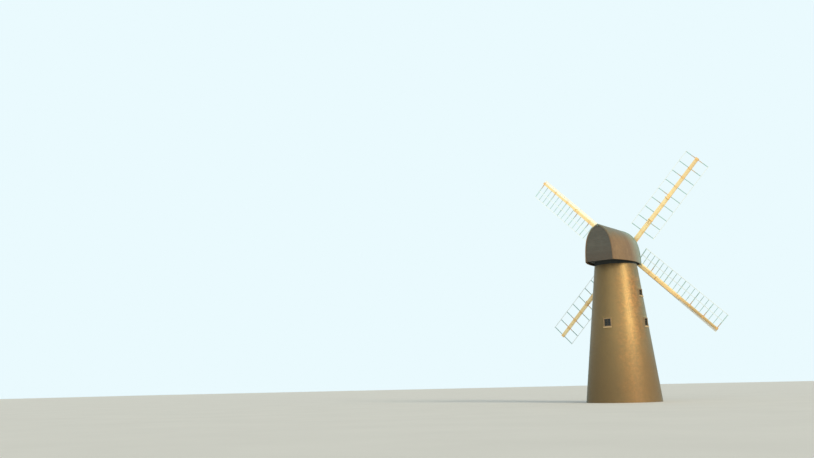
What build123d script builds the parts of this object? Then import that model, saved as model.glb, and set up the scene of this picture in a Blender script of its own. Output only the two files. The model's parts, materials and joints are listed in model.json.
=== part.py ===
from build123d import *
import os
from math import atan, cos, degrees, radians, sin, sqrt, tan

# A brick tower windmill with a boat-shaped cap and four sails, in millimetres.
# The origin is the centre of the tower on the ground and +Z is up.
# At rest the sails face +Y, so the tail of the cap points to -Y.

# The tower is a battered ring of brick, thinner by one set-off at each floor.
tower_height = 11850
base_radius = 3220
top_radius = 1830
base_wall = 600
set_off = 70
ground_storey_height = 2700
storey_height = 2650
floor_thickness = 150
floor_names = ["ground_floor", "first_floor", "second_floor", "third_floor"]
bay_names = [
    "right_wall",
    "front_right_wall",
    "front_wall",
    "front_left_wall",
    "left_wall",
    "rear_left_wall",
    "rear_wall",
    "rear_right_wall",
]
bay_angle = 360 / len(bay_names)
seat_clearance = 0.3
floor_edge_clearance = 5

# Windows stand upright in the sloping wall, so their heads are proud of it.
# The height of a window's sill is above the floor of its storey.
window_width = 720
window_sill_height = 950
lower_window_height = 820
upper_window_height = 680
window_bar = 70
window_depth = 150
window_recess = 20
sill_thickness = 70
sill_overhang = 90
glass_thickness = 8

# The door is closed and stands on the hidden left side.
door_bearing = 180
door_width = 1150
door_height = 2150
door_post = 100
door_frame_depth = 140
door_recess = 60
door_leaf_thickness = 50

# The curb is the ring on which the cap turns.
curb_height = 150
curb_margin = 35
running_gap = 0.3

# The cap has one pointed arch all along, widest just behind the middle of the tower.
# Its height and that of the hub are above the eaves, and its lengths are from the tower's axis.
cap_height = 3180
cap_rear_length = 3300
cap_front_clearance = 78
cap_middle_setback = 350
cap_half_length = 2600
cap_overhang = 170
cap_end_half_width = 1450
roof_thickness = 80
roof_sections = 7

# Each side of the arch is a curve that rises almost straight from the eaves to a shoulder and
# bends in to the ridge. Its handles are shares of the half width and of the cap's height.
side_share_across = 0.98
side_share_up = 0.5
shoulder_share_across = 0.88
shoulder_share_up = 0.84
ridge_inset_share = 1.06

gable_thickness = 50
gable_recess = 40
ridge_board_width = 50
ridge_board_rise = 30
ridge_board_depth = 220
storm_board_thickness = 40
storm_board_width = 330
storm_board_drop = 150
soffit_thickness = 40

# The frame of the cap carries the windshaft.
cap_circle_height = 200
cap_circle_width = 320
sheer_width = 280
sheer_height = 300
sheer_spacing = 1800
weather_beam_length = 2400
weather_beam_width = 340
weather_beam_height = 350
tail_beam_width = 300
tail_beam_height = 220
neck_length = 1250
tail_setback = 800
neck_block = 640
neck_block_width = 300
tail_block = 420
tail_block_width = 200

# The windshaft rises towards the sails and ends in a socketed iron poll end.
shaft_tilt = 8.5
hub_length = 2350
hub_height = 1360
shaft_radius = 235
neck_radius = 220
tail_radius = 100
bearing_clearance = 0.4
shaft_clearance = 15
poll_size = 520
poll_length = 690
shaft_opening_radius = 300

# Each stock carries two opposite whips on its windward face.
sail_rest_angle = 45.6
sail_radius = 10500
stock_length = 12800
stock_width = 350
stock_end_width = 230
stock_depth = 260
stock_end_depth = 180
stock_gap = 30
stock_straight = 700
whip_start = 360
common_whip_width = 260
common_whip_tip_width = 200
patent_whip_width = 360
patent_whip_tip_width = 300
whip_depth = 200
whip_tip_depth = 130
bar_level = 90

# The sail bars turn from the heel to the tip, which is the weather of the sail.
heel_weather = 14
tip_weather = 4
tip_margin = 120
common_bars = 19
common_bar_spacing = 496
common_reach = 1600
common_stub = 315
heavy_every = 3
common_bar_width = 45
heavy_bar_width = 70
bar_thickness = 40
uplong_place = 860
patent_bars = 9
patent_bar_spacing = 993
patent_reach = 1190
patent_bar_width = 65
lath_width = 40
lath_thickness = 25
leading_board_width = 170
leading_board_thickness = 25
leading_board_gap = 18
leading_board_lift = 0.6
clamp_places = [1200, 3680, 6160]
clamp_width = 70
clamp_thickness = 14


def save(name, solids):
    """Write one node, which may hold several solids that do not touch."""
    export_step(Compound(children=list(solids)), f"parts/{name}.step")


def prism(x, y, z):
    """A box from three (low, high) pairs."""
    size = [high - low for low, high in (x, y, z)]
    middle = [(high + low) / 2 for low, high in (x, y, z)]
    return Pos(*middle) * Box(*size)


def turned(solid, bearing):
    """Turn a solid about the tower's axis."""
    return Rot(0, 0, bearing) * solid


# Tower

def outer_radius(height):
    return base_radius - (base_radius - top_radius) * height / tower_height


def floor_levels():
    upper = [ground_storey_height + index * storey_height for index in range(len(floor_names) - 1)]
    return [0] + upper


def wall_thickness(storey):
    return base_wall - storey * set_off


def inner_radius(height, storey):
    return outer_radius(height) - wall_thickness(storey)


def wall_bay(bearing):
    """One upright segment of the wall, with a ledge inside under each floor."""
    levels = floor_levels() + [tower_height]
    outline = [(outer_radius(0), 0), (outer_radius(tower_height), tower_height)]
    for storey in reversed(range(len(floor_names))):
        outline.append((inner_radius(levels[storey + 1], storey), levels[storey + 1]))
        outline.append((inner_radius(levels[storey], storey), levels[storey]))
    profile = make_face(Plane.XZ * Polyline(*outline, close=True))
    segment = revolve(profile, Axis.Z, bay_angle)
    return turned(segment, bearing - bay_angle / 2)


def through_wall(width, low, high):
    """A straight hole through the wall on the +X side."""
    return prism((base_radius / 4, base_radius * 2), (-width / 2, width / 2), (low, high))


def window_places():
    """The bearing, the sill height and the height of each window."""
    levels = floor_levels()
    lower_sill = levels[2] + window_sill_height
    upper_sill = levels[3] + window_sill_height
    lower = [(bearing, lower_sill, lower_window_height) for bearing in (0, 90, 180, 270)]
    upper = [(bearing, upper_sill, upper_window_height) for bearing in (0, 180)]
    return lower + upper


def window_face(sill):
    return outer_radius(sill) - window_recess


def window_sill(bearing, sill, height):
    face = window_face(sill)
    slab = prism(
        (face - window_depth, face + sill_overhang),
        (-window_width / 2, window_width / 2),
        (sill, sill + sill_thickness),
    )
    return turned(slab, bearing)


def window_frame(bearing, sill, height):
    face = window_face(sill)
    depth = (face - window_depth, face)
    low = sill + sill_thickness
    high = sill + height
    outside = prism(depth, (-window_width / 2, window_width / 2), (low, high))
    side = window_width / 2 - window_bar
    inside = prism(depth, (-side, side), (low + window_bar, high - window_bar))
    return turned(outside - inside, bearing)


def window_pane(bearing, sill, height):
    middle = window_face(sill) - window_depth / 2
    side = window_width / 2 - window_bar
    pane = prism(
        (middle - glass_thickness / 2, middle + glass_thickness / 2),
        (-side, side),
        (sill + sill_thickness + window_bar, sill + height - window_bar),
    )
    return turned(pane, bearing)


def make_walls():
    windows = window_places()
    doorway = through_wall(door_width, -floor_thickness, floor_thickness + door_height)
    step_space = through_wall(door_width, -floor_thickness, floor_thickness)
    for index, name in enumerate(bay_names):
        bearing = index * bay_angle
        wall = wall_bay(bearing)
        if bearing == door_bearing:
            save("door_threshold", [wall & turned(step_space, bearing)])
            wall -= turned(doorway, bearing)
        for window_bearing, sill, height in windows:
            if window_bearing == bearing:
                wall -= turned(through_wall(window_width, sill, sill + height), bearing)
        save(name, [wall])
    save("window_sills", [window_sill(*place) for place in windows])
    save("window_frames", [window_frame(*place) for place in windows])
    save("window_glass", [window_pane(*place) for place in windows])


def make_door():
    face = outer_radius(floor_thickness + door_height) - door_recess
    depth = (face - door_frame_depth, face)
    half = door_width / 2
    low = floor_thickness
    high = floor_thickness + door_height
    frame = prism(depth, (-half, half), (low, high))
    frame -= prism(depth, (door_post - half, half - door_post), (low, high - door_post))
    leaf = prism(
        (face - door_leaf_thickness, face),
        (door_post - half, half - door_post),
        (low, high - door_post),
    )
    save("door_frame", [turned(frame, door_bearing)])
    save("door_leaf", [turned(leaf, door_bearing)])


def make_floors():
    ground = Cone(
        inner_radius(0, 0) - seat_clearance,
        inner_radius(floor_thickness, 0) - seat_clearance,
        floor_thickness,
        align=(Align.CENTER, Align.CENTER, Align.MIN),
    )
    save(floor_names[0], [ground])
    for storey, level in enumerate(floor_levels()):
        if storey > 0:
            radius = inner_radius(level + floor_thickness, storey) - floor_edge_clearance
            disc = Cylinder(radius, floor_thickness, align=(Align.CENTER, Align.CENTER, Align.MIN))
            save(floor_names[storey], [Pos(0, 0, level) * disc])


def ring(outside, inside, low, height):
    align = (Align.CENTER, Align.CENTER, Align.MIN)
    disc = Cylinder(outside, height, align=align)
    return Pos(0, 0, low) * (disc - Cylinder(inside, height, align=align))


curb_outside = top_radius - curb_margin
curb_inside = inner_radius(tower_height, len(floor_names) - 1) + curb_margin
eave_level = tower_height + curb_height + running_gap


def make_curb():
    save("curb", [ring(curb_outside, curb_inside, tower_height, curb_height)])


# Cap

ridge_level = eave_level + cap_height
hub_level = eave_level + hub_height
cap_middle_half_width = top_radius + cap_overhang
cap_length = hub_length + cap_rear_length
tail_length = cap_rear_length - tail_setback

# The front of the cap leans back with the sails, just behind the poll end.
axis_direction = (0, cos(radians(shaft_tilt)), sin(radians(shaft_tilt)))
hub_plane = Plane(origin=(0, hub_length, hub_level), x_dir=(-1, 0, 0), z_dir=axis_direction)
front_plane = hub_plane.offset(-(poll_length / 2 + cap_front_clearance))


def ahead_of_front(distance):
    """All that lies ahead of a plane this far behind the leaning front."""
    align = (Align.CENTER, Align.CENTER, Align.MIN)
    reach = 3 * cap_length
    return front_plane * Pos(0, 0, -distance) * Box(reach, reach, cap_length, align=align)


def cap_half_width(place):
    bulge = cap_middle_half_width - cap_end_half_width
    return cap_middle_half_width - bulge * ((place + cap_middle_setback) / cap_half_length) ** 2


def arch_face(place, inset):
    """The pointed arch across the cap at one place, with feet as low as the storm boards."""
    half_width = cap_half_width(place)
    foot = half_width - inset
    handles = [
        (foot, eave_level),
        (side_share_across * half_width - inset, eave_level + side_share_up * cap_height),
        (shoulder_share_across * half_width - inset, eave_level + shoulder_share_up * cap_height - inset),
        (0, ridge_level - ridge_inset_share * inset),
    ]
    right_side = Bezier(*handles)
    left_side = Bezier(*[(-x, z) for x, z in reversed(handles)])
    low = eave_level - storm_board_drop
    feet = Polyline((-foot, eave_level), (-foot, low), (foot, low), (foot, eave_level))
    return Plane.XZ.offset(-place) * make_face(right_side + left_side + feet)


def cap_volume(inset):
    """The space inside a surface this far within the roof's outer face."""
    fall = front_plane.origin.Z - eave_level + storm_board_drop
    front = front_plane.origin.Y + fall * tan(radians(shaft_tilt))
    step = (front + cap_rear_length) / (roof_sections - 1)
    places = [index * step - cap_rear_length for index in range(roof_sections)]
    return loft([arch_face(place, inset) for place in places])


def above_eaves(across, along):
    """The space over the eaves between these places across and along the cap."""
    return prism(across, along, (eave_level, 2 * ridge_level))


def ridge_board():
    half = ridge_board_width / 2
    top = ridge_level + ridge_board_rise
    board = prism((-half, half), (-cap_rear_length, hub_length), (top - ridge_board_depth, top))
    return board - ahead_of_front(0)


def axis_height(place):
    return hub_level - (hub_length - place) * tan(radians(shaft_tilt))


def along_axis(place):
    """Where this place along the cap is along the windshaft, from the hub."""
    return (place - hub_length) / cos(radians(shaft_tilt))


def make_roof(inside):
    outside = cap_volume(0)
    shell = outside - inside - ahead_of_front(0)
    half = ridge_board_width / 2
    width = 2 * cap_middle_half_width
    for name, side in (("right_roof", (half, width)), ("left_roof", (-width, -half))):
        save(name, [shell & above_eaves(side, (-2 * cap_length, 2 * cap_length))])
    save("ridge_board", [ridge_board()])
    boards = cap_volume(-storm_board_thickness) - outside - ridge_board()
    boards = (boards & ahead_of_front(storm_board_width)) - ahead_of_front(0)
    save("storm_boards", [boards])


def make_gables(inside):
    across = (-2 * cap_middle_half_width, 2 * cap_middle_half_width)
    rear = gable_recess - cap_rear_length
    save("rear_gable", [(inside & above_eaves(across, (rear, rear + gable_thickness))) - ridge_board()])
    shaft_hole = hub_plane * Cylinder(shaft_opening_radius, 2 * cap_length)
    front = inside & ahead_of_front(gable_recess + gable_thickness)
    front &= above_eaves(across, (0, 2 * cap_length))
    front = front - ahead_of_front(gable_recess) - ridge_board() - shaft_hole
    save("front_gable", [front])


def make_cap_floor(inside):
    circle_outside = curb_outside
    circle_inside = circle_outside - cap_circle_width
    save("cap_circle", [ring(circle_outside, circle_inside, eave_level, cap_circle_height)])
    width = 2 * cap_middle_half_width
    top = eave_level + cap_circle_height
    rear = gable_recess + gable_thickness - cap_rear_length
    boards = inside & prism((-width, width), (rear, 2 * cap_length), (top - soffit_thickness, top))
    boards -= ahead_of_front(gable_recess + gable_thickness)
    boards -= Cylinder(circle_outside + seat_clearance, 3 * top)
    save("cap_soffit", [boards])


def make_cap_frame():
    low = eave_level + cap_circle_height
    sheer_top = low + sheer_height
    rear = gable_recess + gable_thickness - cap_rear_length
    sheers = []
    for side in (-1, 1):
        middle = side * sheer_spacing / 2
        beam = prism(
            (middle - sheer_width / 2, middle + sheer_width / 2),
            (rear, hub_length),
            (low, sheer_top),
        )
        sheers.append(beam - ahead_of_front(gable_recess + gable_thickness))
    save("sheers", sheers)

    half = weather_beam_length / 2
    weather = prism(
        (-half, half),
        (neck_length - weather_beam_width / 2, neck_length + weather_beam_width / 2),
        (sheer_top, sheer_top + weather_beam_height),
    )
    save("weather_beam", [weather])

    half = (sheer_spacing - sheer_width) / 2
    tail = prism(
        (-half, half),
        (-tail_length - tail_beam_width / 2, tail_beam_width / 2 - tail_length),
        (low, low + tail_beam_height),
    )
    save("tail_beam", [tail])

    neck = bearing(neck_length, neck_block, neck_block_width, sheer_top + weather_beam_height, neck_radius)
    tail = bearing(-tail_length, tail_block, tail_block_width, low + tail_beam_height, tail_radius)
    save("neck_bearing", [neck])
    save("tail_bearing", [tail])


def bearing(place, length, width, low, radius):
    """A block with a half-round seat under the windshaft."""
    block = prism(
        (-length / 2, length / 2),
        (place - width / 2, place + width / 2),
        (low, axis_height(place)),
    )
    return block - hub_plane * Cylinder(radius + bearing_clearance, 3 * cap_length)


def shaft_piece(radius, low, high):
    align = (Align.CENTER, Align.CENTER, Align.MIN)
    return Pos(0, 0, low) * Cylinder(radius, high - low, align=align)


def make_windshaft():
    tail_end = along_axis(-tail_length - tail_block_width / 2 - shaft_clearance)
    tail_start = along_axis(tail_block_width / 2 - tail_length) + tail_radius
    lean = shaft_radius * tan(radians(shaft_tilt))
    neck_start = along_axis(neck_length - neck_block_width / 2) - lean - shaft_clearance
    shaft = shaft_piece(tail_radius, tail_end, tail_start)
    shaft += shaft_piece(shaft_radius, tail_start, neck_start)
    shaft += shaft_piece(neck_radius, neck_start, -poll_length / 2)
    save("windshaft", [hub_plane * shaft])


# Sails
# They are drawn flat, with +Z to windward and one sail along +X.
# Seen from the front they turn anticlockwise, so a sail's trailing side is -Y.

patent_level = (stock_gap + stock_depth) / 2
common_level = -patent_level


def share_along(place, start, end, first, last):
    """A size that changes evenly from first at the start to last at the end."""
    return first + (last - first) * (place - start) / (end - start)


def to_mill(solid):
    """Carry a flat-drawn piece of the sails to the hub at its rest angle."""
    return hub_plane * Rot(0, 0, sail_rest_angle) * solid


def tapered_beam(stations, widths, backs, fronts):
    """A beam along X from its half widths and its rear and front faces."""
    upper = [(x, width / 2) for x, width in zip(stations, widths)]
    lower = [(x, -width / 2) for x, width in reversed(list(zip(stations, widths)))]
    plan = extrude(make_face(Polyline(*upper, *lower, close=True)), sail_radius, both=True)
    rear = list(zip(stations, backs))
    front = list(zip(stations, fronts))[::-1]
    side = extrude(make_face(Plane.XZ * Polyline(*rear, *front, close=True)), sail_radius, both=True)
    return plan & side


def stock(level):
    half = stock_length / 2
    straight = stock_straight / 2
    stations = [-half, -straight, straight, half]
    widths = [stock_end_width, stock_width, stock_width, stock_end_width]
    front = level + stock_depth / 2
    backs = [front - stock_end_depth, front - stock_depth, front - stock_depth, front - stock_end_depth]
    return tapered_beam(stations, widths, backs, [front] * 4)


def whip_blank(level, width, tip_width):
    back = level + stock_depth / 2
    return tapered_beam(
        [whip_start, sail_radius],
        [width, tip_width],
        [back, back],
        [back + whip_depth, back + whip_tip_depth],
    )


def whip_centre(level):
    return level + stock_depth / 2 + bar_level


def weather_slope(radius):
    """How much a bar falls back for each millimetre across the sail."""
    heel = tan(radians(heel_weather))
    tip = tan(radians(tip_weather))
    return share_along(radius, whip_start, sail_radius, heel, tip)


def sail_bar(radius, low, high, width, level):
    """A bar across the sail from one side to the other, through the whip."""
    slope = weather_slope(radius)
    turn = degrees(atan(slope))
    length = (high - low) / cos(radians(turn))
    middle = (low + high) / 2
    bar = Pos(0, middle, middle * slope) * Rot(turn, 0, 0) * Box(width, length, bar_thickness)
    return Pos(radius, 0, whip_centre(level)) * bar


def sail_lath(place, first, last, level):
    """A straight lath along the sail, through the bars at this distance across."""
    overhang = heavy_bar_width
    start = Vector(first - overhang, place, whip_centre(level) + place * weather_slope(first - overhang))
    end = Vector(last + overhang, place, whip_centre(level) + place * weather_slope(last + overhang))
    turn = degrees(atan(weather_slope((first + last) / 2)))
    path = Plane(origin=start, x_dir=(0, cos(radians(turn)), sin(radians(turn))), z_dir=end - start)
    return extrude(path * Rectangle(lath_width, lath_thickness), (end - start).length)


def common_lattice():
    level = common_level
    last = sail_radius - tip_margin
    first = last - (common_bars - 1) * common_bar_spacing
    hemlath = -(common_reach - lath_width / 2)
    lattice = sail_lath(hemlath, first, last, level) + sail_lath(-uplong_place, first, last, level)
    for index in range(common_bars):
        width = heavy_bar_width if index % heavy_every == 0 else common_bar_width
        lattice += sail_bar(last - index * common_bar_spacing, -common_reach, common_stub, width, level)
    return lattice


def patent_lattice():
    level = patent_level
    last = sail_radius - tip_margin
    first = last - (patent_bars - 1) * patent_bar_spacing
    edge = patent_reach - lath_width / 2
    lattice = sail_lath(-edge, first, last, level) + sail_lath(edge, first, last, level)
    for index in range(patent_bars):
        bar_radius = last - index * patent_bar_spacing
        lattice += sail_bar(bar_radius, -patent_reach, patent_reach, patent_bar_width, level)
    return lattice


def leading_board():
    """A twisted board on the front of the bars' short leading ends."""
    near = common_whip_width / 2 + leading_board_gap
    far = near + leading_board_width
    heel = sail_radius - tip_margin - (common_bars - 1) * common_bar_spacing - heavy_bar_width
    ends = []
    for radius in (heel, sail_radius):
        slope = weather_slope(radius)
        back = bar_thickness / 2 * sqrt(1 + slope**2) + leading_board_lift
        front = back + leading_board_thickness
        corners = [
            (near, near * slope + back),
            (far, far * slope + back),
            (far, far * slope + front),
            (near, near * slope + front),
        ]
        place = Plane(origin=(radius, 0, whip_centre(common_level)), x_dir=(0, 1, 0), z_dir=(1, 0, 0))
        ends.append(make_face(place * Polyline(*corners, close=True)))
    return loft(ends, ruled=True)


def clamp_block(place, level, width, tip_width):
    """The outer shape of the iron band that holds a whip to its stock at one place."""
    heel_side = place - clamp_width / 2
    stock_span = (stock_straight / 2, stock_length / 2)
    whip_span = (whip_start, sail_radius)
    stock_here = share_along(heel_side, *stock_span, stock_width, stock_end_width)
    whip_here = share_along(heel_side, *whip_span, width, tip_width)
    half = max(stock_here, whip_here) / 2 + clamp_thickness
    seat = level + stock_depth / 2
    back = seat - share_along(heel_side, *stock_span, stock_depth, stock_end_depth)
    front = seat + share_along(heel_side, *whip_span, whip_depth, whip_tip_depth)
    return prism(
        (heel_side, heel_side + clamp_width),
        (-half, half),
        (back - clamp_thickness, front + clamp_thickness),
    )


def clamp_blocks(level, width, tip_width):
    return [clamp_block(place, level, width, tip_width) for place in clamp_places]


def make_sails():
    inner_stock = stock(common_level)
    outer_stock = stock(patent_level)
    outer_stock_turned = Rot(0, 0, 90) * outer_stock
    poll = Box(poll_size, poll_size, poll_length)
    save("poll_end", [to_mill(poll - inner_stock - outer_stock_turned)])
    save("inner_stock", [to_mill(inner_stock)])
    save("outer_stock", [to_mill(outer_stock_turned)])

    lattice = common_lattice()
    blank = whip_blank(common_level, common_whip_width, common_whip_tip_width)
    whip = blank - lattice
    blocks = clamp_blocks(common_level, common_whip_width, common_whip_tip_width)
    board = leading_board() - blocks
    bands = []
    for number, turn in ((1, 0), (2, 180)):
        save(f"common_whip_{number}", [to_mill(Rot(0, 0, turn) * whip)])
        save(f"common_lattice_{number}", [to_mill(Rot(0, 0, turn) * lattice)])
        save(f"leading_board_{number}", [to_mill(Rot(0, 0, turn) * board)])
        bands += [Rot(0, 0, turn) * (block - blank - inner_stock) for block in blocks]

    lattice = patent_lattice()
    blank = whip_blank(patent_level, patent_whip_width, patent_whip_tip_width)
    whip = blank - lattice
    blocks = clamp_blocks(patent_level, patent_whip_width, patent_whip_tip_width)
    for number, turn in ((1, 90), (2, 270)):
        save(f"patent_whip_{number}", [to_mill(Rot(0, 0, turn) * whip)])
        save(f"patent_lattice_{number}", [to_mill(Rot(0, 0, turn) * lattice)])
        bands += [Rot(0, 0, turn) * (block - blank - outer_stock) for block in blocks]
    save("sail_clamps", [to_mill(band) for band in bands])


os.makedirs("parts", exist_ok=True)
make_walls()
make_door()
make_floors()
make_curb()
roof_inside = cap_volume(roof_thickness)
make_roof(roof_inside)
make_gables(roof_inside)
make_cap_floor(roof_inside)
make_cap_frame()
make_windshaft()
make_sails()
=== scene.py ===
"""The looks of a tarred brick tower windmill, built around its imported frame, in metres.

The tower gets a skin of real bricks, the cap gets boards, and the sails get paint, bolts and bands.
"""
import json
import math
import random

import bpy
from mathutils import Matrix, Vector


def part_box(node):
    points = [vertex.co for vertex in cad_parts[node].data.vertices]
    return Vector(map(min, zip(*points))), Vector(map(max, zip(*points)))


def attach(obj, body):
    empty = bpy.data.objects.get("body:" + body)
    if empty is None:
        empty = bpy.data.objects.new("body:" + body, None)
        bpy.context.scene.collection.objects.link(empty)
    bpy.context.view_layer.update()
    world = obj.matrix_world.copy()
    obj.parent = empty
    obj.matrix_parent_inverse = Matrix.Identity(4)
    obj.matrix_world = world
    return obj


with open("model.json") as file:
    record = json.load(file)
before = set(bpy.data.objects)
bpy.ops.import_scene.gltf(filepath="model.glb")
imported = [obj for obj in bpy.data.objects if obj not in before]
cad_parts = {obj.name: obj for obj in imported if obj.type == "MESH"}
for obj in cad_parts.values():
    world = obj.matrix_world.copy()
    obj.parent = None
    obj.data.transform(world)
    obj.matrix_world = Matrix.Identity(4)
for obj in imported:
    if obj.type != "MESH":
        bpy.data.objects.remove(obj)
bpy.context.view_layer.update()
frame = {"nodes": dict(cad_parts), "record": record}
random.seed(7)
scene = bpy.context.scene

QUARTER_TURN = math.pi / 2

# Camera, as fitted to the photograph, which is 814 by 458 pixels.
PHOTO_WIDTH = 814
FOCAL_PIXELS = 864.0
SENSOR_WIDTH = 36.0
CAMERA_PLACE = Vector((31.32, -71.68, 1.729))
CAMERA_HEADING = math.radians(37.22)
CAMERA_PITCH = math.radians(10.33)
CAMERA_ROLL = math.radians(-1.28)
CAMERA_REACH = 500

# Light and floor. A lamp has its azimuth, elevation, strength, softness and colour, with angles in degrees.
LAMPS = {
    "key": (-23, 20, 2.6, 22, (1.0, 0.90, 0.70)),
    "fill": (-76, 5, 1.5, 60, (1.0, 0.95, 0.86)),
}
SKY_LIGHT = (0.80, 0.93, 1.0, 1)
SKY_STRENGTH = 0.42
FLOOR_HALF = 400
FLOOR_LEVEL = -0.002

# The tower, from the frame and from the part's own sizes.
CURB_MARGIN = 0.035
BASE_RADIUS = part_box("right_wall")[1].x
TOWER_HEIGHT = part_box("right_wall")[1].z
TOP_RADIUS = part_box("curb")[1].x + CURB_MARGIN

# Sides of the tower, as azimuths in degrees: one with painted sky reflection and shade, one with painted
# shade, and one with a painted shadow low down.
PAINTED_REFLECTION_SIDE = 30
PAINTED_SHADE_SIDE = -140
PAINTED_SHADOW_SIDE = 0

# How far the skin of bricks and boards reaches into what it covers.
SKIN_ROOT = 0.003

# Bricks of the tower, laid in Flemish bond. Their tones run from 0, dark, to 1, pale.
BAYS = ["right", "front_right", "front", "front_left", "left", "rear_left", "rear", "rear_right"]
BAY_TURN = 2 * math.pi / len(BAYS)
BRICK_LENGTH = 0.215
BRICK_WIDTH = 0.1025
COURSE = 0.075
JOINT = 0.010
PAIR_LENGTH = BRICK_LENGTH + BRICK_WIDTH + 2 * JOINT
BRICK_PROUD = 0.005
BRICK_ARRIS = 0.004
FACE_WOBBLE = 0.0014
SMALLEST_CUT = 0.02
STRETCHER_TONES = (0.2, 1)
HEADER_TONES = (0, 0.7)
SOLDIER_HEIGHT = 0.225
SOLDIER_BEARING = 0.11

# Windows, as in the part. A row has its storey, height, rows of panes and the quarters it faces.
GROUND_STOREY = 2.7
STOREY = 2.65
WINDOW_SILL = 0.95
WINDOW_WIDTH = 0.72
WINDOW_ROWS = [(2, 0.82, 3, (0, 1, 2, 3)), (3, 0.68, 2, (0, 2))]
WINDOW_BAR = 0.07
WINDOW_DEPTH = 0.15
WINDOW_RECESS = 0.02
SILL_THICKNESS = 0.07
SASH_DEPTH = 0.05
SASH_STILE = 0.035
GLAZING_BAR = 0.022

# Door, as in the part, with its boards, its two strap hinges and its latch.
DOOR_BEARING = math.pi
DOOR_WIDTH = 1.15
DOOR_HEAD = 2.3
DOOR_STEP = 0.15
DOOR_POST = 0.1
DOOR_RECESS = 0.06
DOOR_BOARDS = 6
DOOR_BOARD_FOOT = 0.01
DOOR_BOARD_ROOT = 0.01
DOOR_BOARD_PROUD = 0.012
HINGE_HEIGHTS = (0.5, 1.85)
HINGE_WIDTH = 0.05
HINGE_PROUD = 0.018
HINGE_SHORT_OF_EDGE = 0.3
HINGE_NUTS = 4
FIRST_HINGE_NUT = 0.08
HINGE_NUT_SPACING = 0.16

# The latch's plate and handle, between corners by how far off the door, in from its edge, and up they are.
LATCH_BLOCKS = [
    ((0, 0.16, 1.15), (0.026, 0.05, 1.32)),
    ((0.026, 0.13, 1.22), (0.06, 0.11, 1.24)),
]

# The cap, as in the part: its arch, its ends and the axis of the sails.
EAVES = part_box("cap_circle")[0].z
CAP_HEIGHT = 3.18
CAP_REAR = -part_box("right_roof")[0].y
CAP_MIDDLE_SETBACK = 0.35
CAP_HALF_LENGTH = 2.6
CAP_MIDDLE_HALF_WIDTH = 2.0
CAP_END_HALF_WIDTH = 1.45
SIDE_SHARE_ACROSS = 0.98
SIDE_SHARE_UP = 0.5
SHOULDER_SHARE_ACROSS = 0.88
SHOULDER_SHARE_UP = 0.84
RIDGE_INSET_SHARE = 1.06
ROOF_THICKNESS = 0.08
GABLE_RECESS = 0.04
STORM_BOARD_WIDTH = 0.33
RIDGE_BOARD_HALF = 0.025
SHAFT_TILT = math.radians(8.5)
HUB = Vector((0, 2.35, EAVES + 1.36))
POLL_HALF_LENGTH = 0.345
CAP_FRONT_CLEARANCE = 0.078

# Boards of the cap.
ROOF_BOARDS = 32
ROOF_BOARD_WIDTH = 0.16
ROOF_BOARD_STEPS = 32
ROOF_BOARD_THICKNESS = 0.012
BOARD_WOBBLE = 0.0015
BOARD_GAP = 0.004
LAP_FOOT = 0.03
LAP_HEAD = 0.01
LAP_EXPOSURE = 0.14
LAP_COVER = 0.02
GABLE_TOP_GAP = 0.2
SHAFT_OPENING = 0.3
SLOPE_ROUNDS = 3
HALVINGS = 20

# The sails, as in the part, each pair by its own name.
SAILS = ["common", "patent", "common", "patent"]
SAIL_REST_ANGLE = math.radians(45.6)
SAIL_RADIUS = 10.5
STOCK_LEVELS = {"common": -0.145, "patent": 0.145}
STOCK_LENGTH = 12.8
STOCK_STRAIGHT = 0.7
STOCK_WIDTH = 0.35
STOCK_DEPTH = 0.26
STOCK_END_DEPTH = 0.18
WHIP_START = 0.36
WHIP_WIDTHS = {"common": (0.26, 0.2), "patent": (0.36, 0.3)}
LAST_BAR = 10.38
COMMON_SPACING = 0.496
HEAVY_EVERY = 3
HEAVY_SPACING = {"common": HEAVY_EVERY * COMMON_SPACING, "patent": 0.993}
LATH_PLACES = {"common": (0.86, 1.58), "patent": (1.17,)}
CLAMP_PLACES = (1.2, 3.68, 6.16)
CLAMP_THICKNESS = 0.014
POLL_SIZE = 0.52

# Ironwork and wedges of the sails.
CLAMP_NUT_SIDE = 0.07
PLATE_HALF_LENGTH = 0.05
PLATE_THICKNESS = 0.008
BAND_WIDTH = 0.06
BAND_THICKNESS = 0.012
NOSE_HALF = 0.16
NOSE_THICKNESS = 0.03
NOSE_NUT_PLACE = 0.11
WEDGE_WIDTH = 0.035
WEDGE_ROOT = 0.01
WEDGE_PROUD = 0.11
WEDGE_HALF_HEIGHT = 0.07

# Nuts, each by its width across and its height, and the bevels of blocks.
NUT_SIDES = 6
NUT_SHOULDER_SHARE = 0.75
NUT_TOP_SHARE = 0.8
HINGE_NUT = (0.022, 0.006)
CLAMP_NUT = (0.05, 0.022)
NOSE_NUT = (0.05, 0.025)
FINE_ARRIS = 0.002
SMALL_ARRIS = 0.003
WIDE_ARRIS = 0.006


def sail_frame(turn):
    """The frame in which a sail lies flat along +X with +Z to windward."""
    axis = Vector((0, math.cos(SHAFT_TILT), math.sin(SHAFT_TILT)))
    across = Vector((-1, 0, 0))
    flat = Matrix((across, axis.cross(across), axis)).transposed().to_4x4()
    return Matrix.Translation(HUB) @ flat @ Matrix.Rotation(SAIL_REST_ANGLE + turn, 4, "Z")


def front_place(height, behind=0.0):
    """Where the leaning front of the cap, or a plane behind it, stands along Y at a height."""
    gap = POLL_HALF_LENGTH + CAP_FRONT_CLEARANCE + behind
    return HUB.y - gap / math.cos(SHAFT_TILT) - (height - HUB.z) * math.tan(SHAFT_TILT)


# Shader nodes

def linear(red, green, blue):
    """A colour written as 0 to 255 on a screen, for a shader's socket."""
    return [((channel / 255 + 0.055) / 1.055) ** 2.4 for channel in (red, green, blue)] + [1]


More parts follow.
